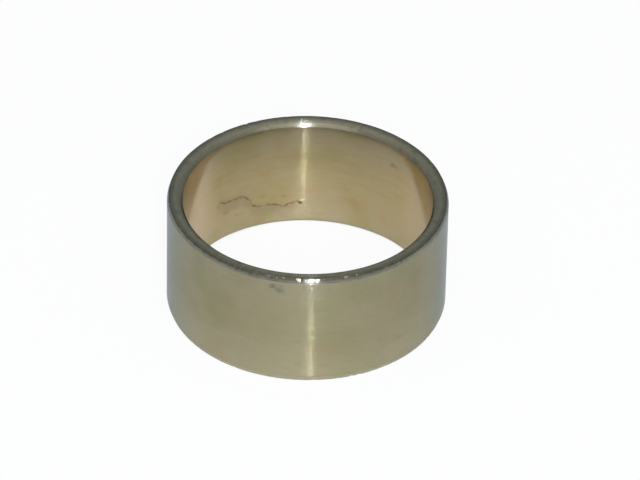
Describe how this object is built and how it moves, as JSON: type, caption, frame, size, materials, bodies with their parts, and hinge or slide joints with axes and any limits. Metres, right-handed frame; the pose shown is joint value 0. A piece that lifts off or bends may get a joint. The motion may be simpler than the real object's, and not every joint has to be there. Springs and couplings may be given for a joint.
{
  "type": "plain bronze sleeve bushing",
  "caption": "Thin-walled plain bronze sleeve bushing with chamfered ends, pressed into a housing to carry a turning or sliding shaft.",
  "frame": {"origin": "centre of the lower end face", "axes": "+Z along the bore axis; both ends are alike, so either may be up"},
  "size_m": [0.045, 0.045, 0.02],
  "materials": {
    "bronze": "fine-turned bronze, satin and slightly tarnished"
  },
  "bodies": {
    "root": {"bushing": "bronze"}
  },
  "joints": []
}
